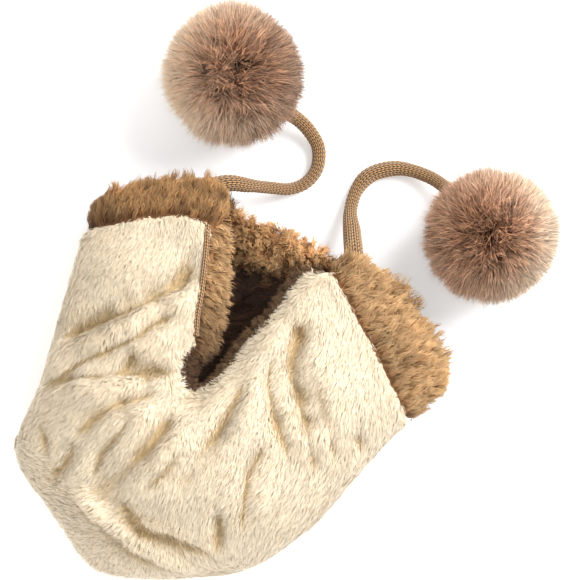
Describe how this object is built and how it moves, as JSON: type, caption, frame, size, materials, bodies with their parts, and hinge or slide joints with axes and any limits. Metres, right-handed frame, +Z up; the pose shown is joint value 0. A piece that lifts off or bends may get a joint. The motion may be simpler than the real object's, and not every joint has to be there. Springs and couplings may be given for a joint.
{
  "type": "plush earflap hood with knitted ties and fur pompoms (chullo)",
  "caption": "Cream plush hood with ear flaps, lined and edged with brown fur, lying on its back, with a knitted tie and a fur pompom at each flap.",
  "frame": {"origin": "middle of the hood without its ties and pompoms, seen from above, on the surface that it lies on", "axes": "+Z up from that surface, +Y from the crown toward the neck edge and ties, +X across the hood to the right of the picture"},
  "size_m": [0.3081, 0.3971, 0.0973],
  "materials": {
    "cream_plush": "short combed faux fur pile",
    "brown_fur": "curly faux fur pile",
    "lining_fur": "curly faux fur pile in shade",
    "knit": "fine stockinette knit",
    "pompom_fur": "long fur with darker roots"
  },
  "bodies": {
    "root": {"hood_side": "cream_plush", "crown_panel": "cream_plush", "fur_lining": "lining_fur", "neck_cuff": "brown_fur", "face_binding": "brown_fur", "left_cord": "knit", "right_cord": "knit", "left_pompom": "pompom_fur", "right_pompom": "pompom_fur"}
  },
  "joints": []
}
